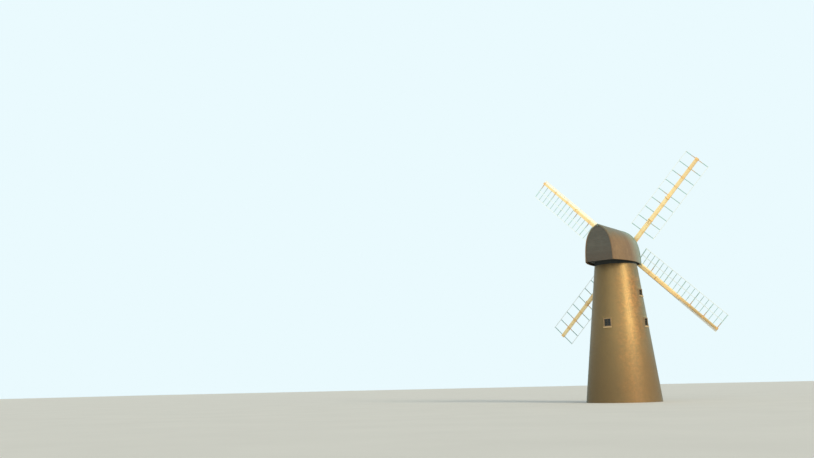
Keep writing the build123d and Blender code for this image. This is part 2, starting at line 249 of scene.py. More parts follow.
class Shader:
    """One procedural material, with short calls for its nodes.

    A value can be a node's output or a constant. Stains, blends and stops take colours of 0 to 255.
    """

    # The numbers of the sockets that mix two colours, since names are shared with other sockets.
    MIX_SHARE = 0
    MIX_FIRST = 6
    MIX_SECOND = 7
    MIX_RESULT = 2

    def __init__(self, name, roughness=0.7, metallic=0.0, specular=0.5):
        self.material = bpy.data.materials.new(name)
        self.material.use_nodes = True
        self.nodes = self.material.node_tree.nodes
        self.links = self.material.node_tree.links
        self.surface = self.nodes["Principled BSDF"]
        self.set("Roughness", roughness)
        self.set("Metallic", metallic)
        self.set("Specular IOR Level", specular)
        self.place = self.nodes.new("ShaderNodeTexCoord").outputs["Object"]
        self.body = None

    def feed(self, socket, value):
        """Give a value to a node's socket."""
        if isinstance(value, bpy.types.NodeSocket):
            self.links.new(value, socket)
        else:
            socket.default_value = value

    def set(self, socket, value):
        """Give a value to a named socket of the surface."""
        self.feed(self.surface.inputs[socket], value)

    def base(self, colour):
        """Set the base colour, as a socket takes it, that later stains are mixed into."""
        self.body = colour
        self.set("Base Color", colour)

    def blend(self, colour, share):
        """Mix a colour into the base colour by a share."""
        self.base(self.mix(share, self.body, linear(*colour)))

    def stain(self, colour, value, low, high, start, end):
        """Mix a colour in by a share that goes from start to end as a value goes from low to high."""
        self.blend(colour, self.ramp(value, low, high, start, end))

    def mapped(self, stretch=(1, 1, 1), rotation=(0, 0, 0), origin=(0, 0, 0)):
        """Places in a turned frame, where features are stretched along its axes."""
        node = self.nodes.new("ShaderNodeMapping")
        node.vector_type = "TEXTURE"
        node.inputs["Location"].default_value = origin
        node.inputs["Scale"].default_value = stretch
        node.inputs["Rotation"].default_value = rotation
        self.links.new(self.place, node.inputs["Vector"])
        return node.outputs["Vector"]

    def noise(self, scale, detail=4.0, roughness=0.55, vector=None):
        """Cloudy noise around 0.5, with more features to the metre at a larger scale."""
        node = self.nodes.new("ShaderNodeTexNoise")
        node.inputs["Scale"].default_value = scale
        node.inputs["Detail"].default_value = detail
        node.inputs["Roughness"].default_value = roughness
        self.links.new(vector or self.place, node.inputs["Vector"])
        return node.outputs["Fac"]

    def attribute(self, name):
        """A number that each face of the mesh carries under a name."""
        node = self.nodes.new("ShaderNodeAttribute")
        node.attribute_name = name
        return node.outputs["Fac"]

    def part_of(self, axis, vector=None):
        """One axis of the place, or of another vector."""
        node = self.nodes.new("ShaderNodeSeparateXYZ")
        self.links.new(vector or self.place, node.inputs["Vector"])
        return node.outputs[axis]

    def height(self):
        """The height of the place over the ground."""
        return self.part_of("Z")

    def facing(self, azimuth):
        """From -1 to 1: how far a place round the tower is on the side at an azimuth in degrees."""
        x = self.part_of("X")
        y = self.part_of("Y")
        radius = self.work_out("POWER", self.plus(self.times(x, x), self.times(y, y)), 0.5)
        side = math.radians(azimuth)
        toward = self.plus(self.times(x, math.cos(side)), self.times(y, math.sin(side)))
        return self.work_out("DIVIDE", toward, radius)

    def ramp(self, value, low, high, start=0.0, end=1.0):
        """Map a value's low to high onto start to end."""
        node = self.nodes.new("ShaderNodeMapRange")
        self.links.new(value, node.inputs["Value"])
        limits = {"From Min": low, "From Max": high, "To Min": start, "To Max": end}
        for socket, number in limits.items():
            node.inputs[socket].default_value = number
        return node.outputs["Result"]

    def colours(self, value, stops):
        """A colour by a value, between stops that each have a place and a colour."""
        node = self.nodes.new("ShaderNodeValToRGB")
        elements = node.color_ramp.elements
        while len(elements) < len(stops):
            elements.new(0.5)
        for element, (place, colour) in zip(elements, stops):
            element.position = place
            element.color = linear(*colour)
        self.links.new(value, node.inputs["Fac"])
        return node.outputs["Color"]

    def between(self, noise, dark, pale):
        """A colour from dark to pale, by a noise."""
        return self.colours(noise, [(0.3, dark), (0.7, pale)])

    def mix(self, share, first, second):
        """Mix two colours by a share, from the first at 0 to the second at 1."""
        node = self.nodes.new("ShaderNodeMix")
        node.data_type = "RGBA"
        self.feed(node.inputs[self.MIX_SHARE], share)
        self.feed(node.inputs[self.MIX_FIRST], first)
        self.feed(node.inputs[self.MIX_SECOND], second)
        return node.outputs[self.MIX_RESULT]

    def work_out(self, kind, first, second=0):
        """One step of arithmetic, which is named by its kind, on one or two values."""
        node = self.nodes.new("ShaderNodeMath")
        node.operation = kind
        self.feed(node.inputs[0], first)
        self.feed(node.inputs[1], second)
        return node.outputs[0]

    def times(self, first, second):
        """The product of two values."""
        return self.work_out("MULTIPLY", first, second)

    def plus(self, first, second):
        """The sum of two values."""
        return self.work_out("ADD", first, second)

    def bump(self, value, distance, strength=1.0):
        """Roughen the surface by a value, on top of the bumps it already has."""
        node = self.nodes.new("ShaderNodeBump")
        node.inputs["Distance"].default_value = distance
        node.inputs["Strength"].default_value = strength
        self.links.new(value, node.inputs["Height"])
        earlier = self.surface.inputs["Normal"].links
        if earlier:
            self.links.new(earlier[0].from_socket, node.inputs["Normal"])
        self.set("Normal", node.outputs["Normal"])


# Materials of the tower

BRICK_GLOSS = {
    "Specular Tint": linear(255, 216, 140),
    "IOR": 1.8,
    "Coat Weight": 0.15,
    "Coat Roughness": 0.42,
    "Sheen Weight": 0.5,
    "Sheen Roughness": 0.3,
    "Sheen Tint": linear(90, 180, 205),
}
BRICK_TONES = [(0.0, (98, 63, 36)), (0.5, (124, 84, 48)), (1.0, (146, 103, 58))]


def tar_bricks(shader, patches, fine):
    """Bricks, each in its own tone, under tar that is streaked, patchy and worn off in spots."""
    streaks = shader.noise(2.2, 5, 0.6, shader.mapped((1, 1, 8)))
    mottle = shader.noise(3.6, 5, 0.7)
    shader.base(shader.colours(shader.attribute("tone"), BRICK_TONES))
    shader.stain((100, 78, 52), streaks, 0.42, 0.72, 0, 0.5)
    shader.stain((176, 138, 82), patches, 0.5, 0.75, 0, 0.5)
    shader.stain((158, 96, 56), fine, 0.56, 0.72, 0, 0.65)
    shader.stain((176, 112, 64), mottle, 0.52, 0.64, 0, 0.8)
    shader.stain((84, 72, 50), mottle, 0.36, 0.48, 0.8, 0)


def browner_foot_and_painted_shade(shader, patches):
    """The tower's marks: a browner foot, painted sky reflection and shade on one side, painted shade on
    another, a painted shadow low on one side and a painted shadow under the cap.
    """
    height = shader.height()
    ragged = shader.ramp(patches, 0.3, 0.7, -0.12, 0.12)
    shader.stain((112, 80, 52), height, 0.0, 5.5, 0.7, 0)
    # Painted sky reflection and shade: a grey-green that darkens the side of the tower facing this azimuth.
    green = shader.plus(shader.facing(PAINTED_REFLECTION_SIDE), ragged)
    shader.stain((76, 94, 88), green, 0.55, 0.9, 0, 0.95)
    # Painted shade: a dark brown over the side of the tower that is turned from the lamps.
    painted_shade_share = shader.plus(shader.facing(PAINTED_SHADE_SIDE), ragged)
    shader.stain((50, 45, 36), painted_shade_share, -0.15, 0.5, 0, 0.92)
    # Painted shadow: the lower wall on the side towards this azimuth is darkened, most below 3 m.
    low = shader.ramp(height, 3.0, 8.0, 1, 0)
    painted_foot_shadow = shader.times(low, shader.ramp(shader.facing(PAINTED_SHADOW_SIDE), 0.66, 0.9, 0, 0.85))
    shader.blend((78, 60, 45), painted_foot_shadow)
    # Painted shadow: the top of the wall just under the cap is darkened.
    painted_cap_shadow = shader.plus(height, ragged)
    shader.stain((66, 60, 48), painted_cap_shadow, TOWER_HEIGHT - 1.2, TOWER_HEIGHT - 0.1, 0, 0.7)


def tarred_brick():
    """Bricks under worn tar: glossy and golden, with painted reflection and shade on one side, painted
    shade on another and painted shadows low down and under the cap.
    """
    shader = Shader("tarred_brick", specular=1.0)
    for socket, value in BRICK_GLOSS.items():
        shader.set(socket, value)
    patches = shader.noise(0.9, 5, 0.6)
    fine = shader.noise(22, 4, 0.6)
    tar_bricks(shader, patches, fine)
    browner_foot_and_painted_shade(shader, patches)
    dull = shader.ramp(shader.height(), 1.0, 6.5, 0.3, 0)
    shader.set("Roughness", shader.plus(shader.ramp(fine, 0.3, 0.7, 0.36, 0.54), dull))
    shader.bump(fine, 0.002, 0.6)
    shader.bump(shader.noise(7, 3), 0.006, 0.4)
    return shader.material


def mortar():
    """The wall behind the bricks, which shows in their joints."""
    shader = Shader("tarred_joints", roughness=0.75)
    shader.base(shader.between(shader.noise(14, 5), (86, 68, 46), (130, 104, 68)))
    shader.bump(shader.noise(60, 3), 0.002)
    return shader.material


def glass():
    """Old panes, slightly uneven, whose dark colour is painted shade of the dim room behind them."""
    shader = Shader("window_glass", roughness=0.12, specular=0.4)
    # Painted shade: the panes are dark for the dim room behind them.
    shader.base(shader.between(shader.noise(3.0, 2), (18, 20, 16), (30, 32, 27)))
    shader.bump(shader.noise(5.0, 1), 0.002, 0.4)
    return shader.material


def iron(name, colour, rust):
    """Iron, bare or painted, with spots of rust."""
    shader = Shader(name, roughness=0.55, metallic=0.35)
    shader.base(linear(*colour))
    shader.stain(rust, shader.noise(12, 6, 0.65), 0.52, 0.66, 0, 0.85)
    shader.bump(shader.noise(45, 4), 0.001, 0.5)
    return shader.material


# Boards and paint. Grain is given by how far it is stretched along each axis.

BARE_TIMBER = (118, 92, 66)
GREY_WORN = (96, 92, 78)


def boards_shader(name, dark, middle, pale, grain=(1, 1, 12), roughness=0.72):
    """Weathered boards: long grain, a tone for each board and worn pale patches."""
    shader = Shader(name, roughness=roughness)
    lines = shader.noise(38, 6, 0.65, shader.mapped(grain))
    patches = shader.noise(1.6, 5, 0.6)
    shader.base(shader.colours(lines, [(0.28, dark), (0.5, middle), (0.74, pale)]))
    shader.stain(dark, shader.attribute("tone"), 0, 1, 0, 0.45)
    shader.stain(pale, patches, 0.5, 0.75, 0, 0.5)
    shader.bump(lines, 0.0025, 0.7)
    return shader


def paint_shader(name, clean, dirty, worn, grain, rotation=(0, 0, 0), wear=0.62):
    """Oil paint on timber that has worn through along the grain."""
    shader = Shader(name, roughness=0.5, specular=0.4)
    along = shader.mapped(grain, rotation)
    lines = shader.noise(30, 6, 0.65, along)
    patches = shader.noise(1.3, 5, 0.6)
    dirt = shader.noise(7, 4, 0.6, along)
    chips = shader.plus(lines, patches)
    shader.base(linear(*clean))
    shader.stain(dirty, dirt, 0.4, 0.75, 0, 0.5)
    shader.stain(worn, chips, wear + 0.5, wear + 0.62, 0, 0.9)
    shader.bump(lines, 0.0015, 0.6)
    return shader


def bare_timber(name, dark, pale, grain):
    """Unpainted timber inside the mill, between a dark and a pale colour."""
    return boards_shader(name, dark, BARE_TIMBER, pale, grain).material


def painted(name, clean, dirty, grain, worn=GREY_WORN):
    """Painted joinery, with a clean and a dirty colour of its paint."""
    return paint_shader(name, clean, dirty, worn, grain).material


def roof_with_painted_reflection():
    """Brown boards, grey-green towards the ridge from moss and painted sky reflection, and pale grey-green
    towards the cap's leaning front from painted sky reflection.
    """
    shader = boards_shader("roof_boards", (102, 79, 53), (122, 96, 66), (140, 113, 78), roughness=0.5)
    clouds = shader.noise(3.5, 5, 0.6)
    shader.stain((140, 98, 64), clouds, 0.62, 0.74, 0, 0.35)
    # Moss and painted sky reflection: grey-green towards the ridge.
    top = shader.ramp(shader.height(), EAVES + 1.7, EAVES + 2.7, 0, 0.9)
    shader.blend((94, 100, 84), shader.times(top, shader.ramp(clouds, 0.3, 0.6, 0.35, 1.0)))
    # Painted sky reflection: a pale grey-green towards the leaning front, where the flank turns away.
    leaning = shader.times(shader.height(), math.tan(SHAFT_TILT))
    forward = shader.plus(shader.part_of("Y"), leaning)
    edge = front_place(0)
    near_front = shader.ramp(forward, edge - 3.0, edge - 1.2)
    painted_front_reflection = shader.times(near_front, shader.ramp(clouds, 0.3, 0.6, 0.5, 0.9))
    shader.blend((132, 146, 130), painted_front_reflection)
    return shader.material


def gable_material():
    """Dark grey boards with green spots, browner at the foot of the gable."""
    shader = boards_shader("gable_boards", (66, 64, 57), (83, 80, 72), (98, 95, 85), (12, 1, 1))
    shader.stain((74, 62, 50), shader.height(), EAVES, EAVES + 1.3, 0.75, 0)
    shader.stain((72, 98, 92), shader.noise(16, 4), 0.58, 0.68, 0, 0.5)
    return shader.material


def soffit_painted_shade():
    """Painted shade: the ring of boards and timber between the tower and the cap, made dark for the shade
    under the cap.
    """
    shader = boards_shader("soffit_painted_shade_boards", (34, 38, 38), (46, 52, 52), (60, 66, 64), (1, 12, 1))
    return shader.material


def trim_material():
    """The pale grey-green boards along the ridge and round the front, with greyer spots."""
    shader = boards_shader("trim_boards", (96, 120, 112), (132, 162, 150), (160, 192, 182))
    shader.stain((98, 112, 108), shader.noise(9, 5), 0.55, 0.7, 0, 0.6)
    return shader.material


# Paint of the sails. A band has its start, its end, its most share and its colour; the brown band towards a
# common sail's tip is painted shade.

SAIL_GRAIN = (16, 1, 1)
CREAM = ((254, 232, 176), (250, 217, 146))
CREAM_WORN = (150, 112, 70)
WHITE = ((244, 244, 234), (232, 232, 218))
WHITE_WORN = (204, 200, 180)
BARS = {
    "common": ((180, 216, 214), (160, 198, 190)),
    "patent": ((158, 196, 192), (140, 176, 168)),
}
BARS_WORN = (128, 140, 130)
PALE_LATH = (234, 242, 238)
SAIL_BANDS_AND_SHADE = {
    # The common sail's second band, brown towards its tip and darker on the leading side, is painted shade.
    "common": [(-1.0, -4.0, 0.5, (246, 190, 108)), (-5.8, -7.8, 0.75, (144, 118, 76))],
    "patent": [(6.0, 10.0, 0.4, (196, 146, 84))],
}


def sail_places(shader, sail, turn):
    """Along a pair of sails, across one towards its leading side, and off its nearest heavy bar."""
    place = shader.mapped((1, 1, 1), turn, HUB)
    signed = shader.part_of("X", place)
    along = shader.work_out("ABSOLUTE", signed)
    across = shader.times(shader.part_of("Y", place), shader.work_out("SIGN", signed))
    inward = shader.work_out("SUBTRACT", along, LAST_BAR)
    return signed, across, shader.work_out("PINGPONG", inward, HEAVY_SPACING[sail] / 2)


def cream_material(sail, turn):
    """Cream paint, rusty at the heavy bars, with bands along one sail of the pair that are stronger on the
    leading side: an orange band and a brown tip of painted shade on a common sail, and a browner tip on a
    patent sail.
    """
    shader = paint_shader(sail + "_cream_paint", *CREAM, CREAM_WORN, SAIL_GRAIN, turn, 0.7)
    signed, across, off_heavy = sail_places(shader, sail, turn)
    patches = shader.ramp(shader.noise(0.7, 2), 0.4, 0.6, 0.15, 0.45)
    rusty = shader.times(shader.ramp(off_heavy, 0.05, 0.18, 1, 0), patches)
    shader.blend((228, 160, 86), rusty)
    # Each band mixes in a colour; the common sail's brown tip band is painted shade.
    for start, end, most, colour in SAIL_BANDS_AND_SHADE[sail]:
        leading = shader.ramp(across, -0.1, 0.1, 0.5 * most, most)
        shader.blend(colour, shader.times(shader.ramp(signed, start, end), leading))
    return shader.material


def bar_material(sail, turn):
    """Grey-green bars, rusty where heavy ones come close to the whip, with paler laths and stubs."""
    shader = paint_shader(sail + "_bar_paint", *BARS[sail], BARS_WORN, (1, 1, 1), turn, 0.6)
    _, across, off_heavy = sail_places(shader, sail, turn)
    squared = shader.times(across, across)
    patches = shader.ramp(shader.noise(0.7, 2), 0.46, 0.54)
    near_whip = shader.ramp(squared, 0.05, 0.5, 0.85, 0)
    rusty = shader.times(shader.ramp(off_heavy, 0.06, 0.1, 1, 0), near_whip)
    shader.blend((212, 160, 92), shader.times(rusty, patches))
    for lath in LATH_PLACES[sail]:
        off_lath = shader.work_out("ABSOLUTE", shader.work_out("SUBTRACT", squared, lath**2))
        shader.stain(PALE_LATH, off_lath, 0.06 * lath, 0.08 * lath, 0.95, 0)
    if sail == "common":
        shader.stain(PALE_LATH, across, 0.12, 0.16, 0, 0.95)
    return shader.material


def white_material(sail, turn):
    """White paint for the leading boards."""
    return paint_shader(sail + "_white_paint", *WHITE, WHITE_WORN, SAIL_GRAIN, turn, 0.7).material


# Materials by the slots that they fill, and some for pieces and nodes of their own

materials = {
    "tarred_brick": tarred_brick(),
    "tower_brick": mortar(),
    "roof_boards": roof_with_painted_reflection(),
    "gable_boards": gable_material(),
    "trim_boards": trim_material(),
    "soffit": soffit_painted_shade(),
    "window_glass": glass(),
    "bearing_iron": iron("black_iron", (52, 50, 48), (96, 62, 42)),
    "rusty_cream": iron("rusty_cream", (244, 204, 134), (216, 150, 84)),
    "floor_brick": bare_timber("brick_paving", (104, 70, 54), (148, 108, 84), (1, 1, 1)),
    "floor_timber": bare_timber("floor_boards", (96, 74, 52), (150, 120, 88), (1, 16, 1)),
    "frame_timber": bare_timber("frame_oak", (88, 70, 52), (138, 112, 82), (12, 12, 1)),
    "shaft_timber": bare_timber("shaft_oak", (92, 74, 54), (142, 116, 86), (1, 16, 1)),
    "sill": painted("sill_paint", (206, 178, 132), (176, 146, 104), (8, 8, 1)),
    "window_timber": painted("tan_paint", (146, 122, 88), (122, 98, 68), (1, 1, 10)),
    "sash": painted("sash_paint", (66, 60, 48), (52, 48, 39), (1, 1, 10)),
    "door_timber": painted("dark_paint", (74, 62, 50), (58, 48, 40), (1, 1, 12), (110, 88, 66)),
}
for quarter, sail in enumerate(SAILS[:2]):
    turn = sail_frame(quarter * QUARTER_TURN).to_euler("XYZ")
    materials[sail + "_cream"] = cream_material(sail, turn)
    materials[sail + "_bars"] = bar_material(sail, turn)
    materials[sail + "_white"] = white_material(sail, turn)

# The soffit material, on the soffit, the cap's circle and the curb, is painted shade.
NODE_MATERIALS = {
    "sail_clamps": "rusty_cream",
    "window_sills": "sill",
    "cap_soffit": "soffit",
    "cap_circle": "soffit",
    "curb": "soffit",
}


def dress_nodes():
    """Give each node of the frame its slot's material, or its own where it has one."""
    slots = {row["node"]: row["material_slot"] for row in frame["record"]["subparts"]}
    for name, node in frame["nodes"].items():
        sail = "patent" if name.startswith("patent") or name == "outer_stock" else "common"
        key = NODE_MATERIALS.get(name, slots[name].replace("sail", sail))
        node.data.materials.clear()
        node.data.materials.append(materials[key])


# Meshes

class Heap:
    """Vertices, faces and tones of many small solids that become one piece."""

    def __init__(self):
        self.vertices = []
        self.faces = []
        self.tones = []

    def add(self, vertices, faces, tone):
        """Add a solid, whose faces count its vertices from 0, in one tone."""
        start = len(self.vertices)
        self.vertices.extend(vertices)
        self.faces.extend([start + index for index in face] for face in faces)
        self.tones.extend([tone] * len(faces))

    def piece(self, name, material, body, slot):
        """Make the heap a mesh that rides on a body, with a tone for each of its faces."""
        mesh = bpy.data.meshes.new(name)
        mesh.from_pydata(self.vertices, [], self.faces)
        mesh.attributes.new("tone", "FLOAT", "FACE").data.foreach_set("value", self.tones)
        mesh.materials.append(materials[material])
        mesh.update()
        piece = bpy.data.objects.new(name, mesh)
        scene.collection.objects.link(piece)
        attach(piece, body)


def outward(face, points):
    """The face, turned over if it looks towards the origin."""
    first, second, third = (points[index] for index in face[:3])
    normal = (second - first).cross(third - first)
    middle = sum((points[index] for index in face), Vector())
    return face if normal.dot(middle) > 0 else face[::-1]


def block_points(low, high, arris):
    """The vertices of a box with bevelled edges: for each axis, the eight corners of its two faces."""
    points = []
    for axis in range(3):
        for corner in range(8):
            point = []
            for other in range(3):
                upper = (corner >> other) & 1
                inset = 0 if other == axis else arris
                point.append(high[other] - inset if upper else low[other] + inset)
            points.append(point)
    return points


def block_faces():
    """The faces, edges and corners of such a box, each wound to face outwards."""
    faces = []
    for axis in range(3):
        other = (axis + 1) % 3
        here = 1 << axis
        first = 1 << other
        second = 1 << (axis + 2) % 3
        for side in (0, here):
            corners = (side, side | first, side | first | second, side | second)
            faces.append([8 * axis + corner for corner in corners])
        for start in (0, here, first, here | first):
            end = start | second
            faces.append([8 * axis + start, 8 * axis + end, 8 * other + end, 8 * other + start])
    faces += [[corner, 8 + corner, 16 + corner] for corner in range(8)]
    sample = [Vector(point) for point in block_points((-1, -1, -1), (1, 1, 1), 0.2)]
    return [outward(face, sample) for face in faces]


BLOCK_FACES = block_faces()


def add_block(heap, low, high, arris, place):
    """A bevelled box between two corners, carried to its place by a matrix."""
    points = [place @ Vector(point) for point in block_points(low, high, arris)]
    heap.add([tuple(point) for point in points], BLOCK_FACES, random.random())


def add_nut(heap, place, centre, size):
    """A six-sided nut that stands up along +Z from a point, and is carried to its place by a matrix."""
    across, height = size
    points = []
    for share, level in ((1, 0), (1, NUT_SHOULDER_SHARE * height), (NUT_TOP_SHARE, height)):
        for index in range(NUT_SIDES):
            angle = index * 2 * math.pi / NUT_SIDES
            spoke = Vector((math.cos(angle), math.sin(angle), 0)) * across / 2 * share
            points.append(tuple(place @ (Vector(centre) + spoke + Vector((0, 0, level)))))
    faces = [list(range(2 * NUT_SIDES, 3 * NUT_SIDES))]
    for row in (0, NUT_SIDES):
        above = row + NUT_SIDES
        for index in range(NUT_SIDES):
            after = (index + 1) % NUT_SIDES
            faces.append([row + index, row + after, above + after, above + index])
    heap.add(points, faces, random.random())


# Brick skin

# A brick's face, and the bevels and sides that run from its edges into the wall.
BRICK_FACES = [
    (0, 1, 2, 3),
    (4, 5, 1, 0), (5, 6, 2, 1), (6, 7, 3, 2), (7, 4, 0, 3),
    (8, 9, 5, 4), (9, 10, 6, 5), (10, 11, 7, 6), (11, 8, 4, 7),
]


def wall_radius(height):
    """The radius of the battered wall at a height."""
    return BASE_RADIUS - (BASE_RADIUS - TOP_RADIUS) * height / TOWER_HEIGHT


def on_wall(angle, height, proud):
    """A point that stands proud of the wall."""
    radius = wall_radius(height) + proud
    return (radius * math.cos(angle), radius * math.sin(angle), height)


def window_sill(storey):
    """The height of the window sills of a storey."""
    return GROUND_STOREY + (storey - 1) * STOREY + WINDOW_SILL


def add_brick(heap, brick, tone):
    """One brick with bevelled edges, proud of the wall, between two angles and two heights."""
    low_angle, high_angle, low, high = brick
    inset = BRICK_ARRIS / wall_radius(low)
    corners = [(low_angle, low), (high_angle, low), (high_angle, high), (low_angle, high)]
    signs = [(1, 1), (-1, 1), (-1, -1), (1, -1)]
    wobble = [random.uniform(-FACE_WOBBLE, FACE_WOBBLE) for _ in range(3)]
    wobble.append(wobble[0] + wobble[2] - wobble[1])
    face = [
        on_wall(angle + sign[0] * inset, height + sign[1] * BRICK_ARRIS, BRICK_PROUD + lift)
        for (angle, height), sign, lift in zip(corners, signs, wobble)
    ]
    edge = [on_wall(angle, height, BRICK_PROUD - BRICK_ARRIS) for angle, height in corners]
    root = [on_wall(angle, height, -SKIN_ROOT) for angle, height in corners]
    heap.add(face + edge + root, BRICK_FACES, tone)


def cut_out(brick, hole):
    """What a rectangular hole leaves of a brick, each given by its angles and its heights."""
    first, last, low, high = brick
    hole_first, hole_last, hole_low, hole_high = hole
    if last <= hole_first or first >= hole_last or high <= hole_low or low >= hole_high:
        return [brick]
    inner_first = max(first, hole_first)
    inner_last = min(last, hole_last)
    parts = [
        (first, hole_first, low, high),
        (hole_last, last, low, high),
        (inner_first, inner_last, low, hole_low),
        (inner_first, inner_last, hole_high, high),
    ]
    return [part for part in parts if part[1] > part[0] and part[3] > part[2]]


def wall_openings():
    """The bearing, the half width and the heights of each window and of the door."""
    openings = []
    for storey, height, _, quarters in WINDOW_ROWS:
        sill = window_sill(storey)
        for quarter in quarters:
            openings.append((quarter * QUARTER_TURN, WINDOW_WIDTH / 2, sill, sill + height))
    openings.append((DOOR_BEARING, DOOR_WIDTH / 2, 0, DOOR_HEAD))
    return openings


def holes_at(height, openings):
    """The openings and the soldier courses over them, as angles at one height."""
    holes = []
    radius = wall_radius(height)
    for bearing, half, low, high in openings:
        side = math.asin((half + JOINT / 2) / radius)
        arch = math.asin((half + SOLDIER_BEARING) / radius)
        for middle in (bearing, bearing + 2 * math.pi):
            holes.append((middle - side, middle + side, low - JOINT / 2, high + JOINT / 2))
            holes.append((middle - arch, middle + arch, high, high + SOLDIER_HEIGHT))
    return holes


def bay_at(angle):
    """The number of the bay that an angle falls in."""
    return int((angle + BAY_TURN / 2) / BAY_TURN) % len(BAYS)


def lay_brick(heaps, brick, holes, tones):
    """What the holes leave of a brick and its joints, in a tone between two."""
    first, last, low, high = brick
    radius = wall_radius((low + high) / 2)
    joint = JOINT / radius
    pieces = [(first + joint / 2, last - joint / 2, low, high)]
    for hole in holes:
        pieces = [part for piece in pieces for part in cut_out(piece, hole)]
    tone = random.uniform(*tones)
    for piece in pieces:
        width = (piece[1] - piece[0]) * radius
        if width > SMALLEST_CUT and piece[3] - piece[2] > SMALLEST_CUT:
            add_brick(heaps[bay_at(first)], piece, tone)


def lay_course(heaps, index, openings):
    """One course of stretchers and headers in turn, round the whole tower."""
    low = index * COURSE + JOINT / 2
    high = (index + 1) * COURSE - JOINT / 2
    middle = (low + high) / 2
    pairs = round(2 * math.pi * wall_radius(middle) / PAIR_LENGTH)
    turn = 2 * math.pi / pairs
    stretcher = turn * (BRICK_LENGTH + JOINT) / PAIR_LENGTH
    shift = turn / 2 if index % 2 else 0
    holes = holes_at(middle, openings)
    for pair in range(pairs):
        start = pair * turn + shift
        lay_brick(heaps, (start, start + stretcher, low, high), holes, STRETCHER_TONES)
        lay_brick(heaps, (start + stretcher, start + turn, low, high), holes, HEADER_TONES)


def lay_soldiers(heaps, openings):
    """A flat arch of upright bricks over each opening."""
    for bearing, half, _, head in openings:
        radius = wall_radius(head + SOLDIER_HEIGHT / 2)
        span = 2 * math.asin((half + SOLDIER_BEARING) / radius)
        count = round(span * radius / COURSE)
        turn = span / count
        joint = JOINT / radius
        low = head + JOINT / 2
        high = head + SOLDIER_HEIGHT - JOINT / 2
        for index in range(count):
            first = bearing - span / 2 + index * turn
            brick = (first + joint / 2, first + turn - joint / 2, low, high)
            add_brick(heaps[bay_at(bearing)], brick, random.random())


def make_brick_skin():
    """Bricks over the whole wall, with a piece for each bay."""
    heaps = [Heap() for _ in BAYS]
    openings = wall_openings()
    for index in range(round(TOWER_HEIGHT / COURSE)):
        lay_course(heaps, index, openings)
    lay_soldiers(heaps, openings)
    for name, heap in zip(BAYS, heaps):
        heap.piece(name + "_bricks", "tarred_brick", "tower", "tower_brick")


# Boards of the roof

def cap_half_width(place):
    """Half of the cap's width at its eaves, at a place along Y."""
    share = (place + CAP_MIDDLE_SETBACK) / CAP_HALF_LENGTH
    return CAP_MIDDLE_HALF_WIDTH - (CAP_MIDDLE_HALF_WIDTH - CAP_END_HALF_WIDTH) * share**2


def on_curve(handles, share):
    """Where a curve with four handles has come to by its share."""
    start, first, second, end = handles
    rest = 1 - share
    return start * rest**3 + 3 * first * rest**2 * share + 3 * second * rest * share**2 + end * share**3


def arch_point(place, inset, share):
    """How far across and above the eaves the arch's right side is, by its share of the curve."""
    half_width = cap_half_width(place)
    across = (
        half_width - inset,
        SIDE_SHARE_ACROSS * half_width - inset,
        SHOULDER_SHARE_ACROSS * half_width - inset,
        0,
    )
    up = (
        0,
        SIDE_SHARE_UP * CAP_HEIGHT,
        SHOULDER_SHARE_UP * CAP_HEIGHT - inset,
        CAP_HEIGHT - RIDGE_INSET_SHARE * inset,
    )
    return on_curve(across, share), on_curve(up, share)


def on_roof(share_along, share_up, proud):
    """A point over the right side of the roof, by its shares from the rear and from the eaves.

    The front leans, so the rise sets how far along the point is, which in turn changes the rise a little.
    """
    rise = CAP_HEIGHT * share_up
    for _ in range(SLOPE_ROUNDS):
        front = front_place(EAVES + rise, STORM_BOARD_WIDTH)
        place = share_along * (front + CAP_REAR) - CAP_REAR
        across, rise = arch_point(place, -proud, share_up)
    return (max(across, RIDGE_BOARD_HALF), place, EAVES + rise)


def add_roof_board(heap, first, last, side):
    """One board from the eaves to the ridge, on the right (1) or the left (-1)."""
    lifts = [ROOF_BOARD_THICKNESS + random.uniform(-BOARD_WOBBLE, BOARD_WOBBLE) for _ in range(2)]
    section = [(first, -SKIN_ROOT), (first, lifts[0]), (last, lifts[1]), (last, -SKIN_ROOT)]
    points = []
    for step in range(ROOF_BOARD_STEPS + 1):
        points += [on_roof(along, step / ROOF_BOARD_STEPS, proud) for along, proud in section]
    count = len(points)
    faces = [(0, 1, 2, 3), (count - 1, count - 2, count - 3, count - 4)]
    for step in range(ROOF_BOARD_STEPS):
        row = 4 * step
        faces += [(row + 4 + index, row + 5 + index, row + 1 + index, row + index) for index in range(3)]
    if side < 0:
        points = [(-x, y, z) for x, y, z in points]
        faces = [face[::-1] for face in faces]
    heap.add(points, faces, random.random())


def make_roof_boards():
    """Boards side by side over each side of the roof, with a gap between two."""
    half_gap = BOARD_GAP / 2 / ROOF_BOARDS / ROOF_BOARD_WIDTH
    for name, side in (("right_flank_boards", 1), ("left_flank_boards", -1)):
        heap = Heap()
        for index in range(ROOF_BOARDS):
            first = index / ROOF_BOARDS + (half_gap if index else 0)
            last = (index + 1) / ROOF_BOARDS - half_gap
            add_roof_board(heap, first, last, side)
        heap.piece(name, "roof_boards", "cap", "roof_boards")


# Boards of the gables

def inside_half_width(place, height):
    """Half of the width between the two sides of the roof, at a place and a height."""
    low, high = 0.0, 1.0
    for _ in range(HALVINGS):
        middle = (low + high) / 2
        across, rise = arch_point(place, ROOF_THICKNESS + BOARD_GAP, middle)
        if EAVES + rise < height:
            low = middle
        else:
            high = middle
    return across


def rear_point(across, out, height):
    """A point out of the rear gable."""
    return (across, GABLE_RECESS - CAP_REAR - out, height)


def front_point(across, out, height):
    """A point out of the leaning front gable."""
    return (-across, front_place(height, GABLE_RECESS - out), height)


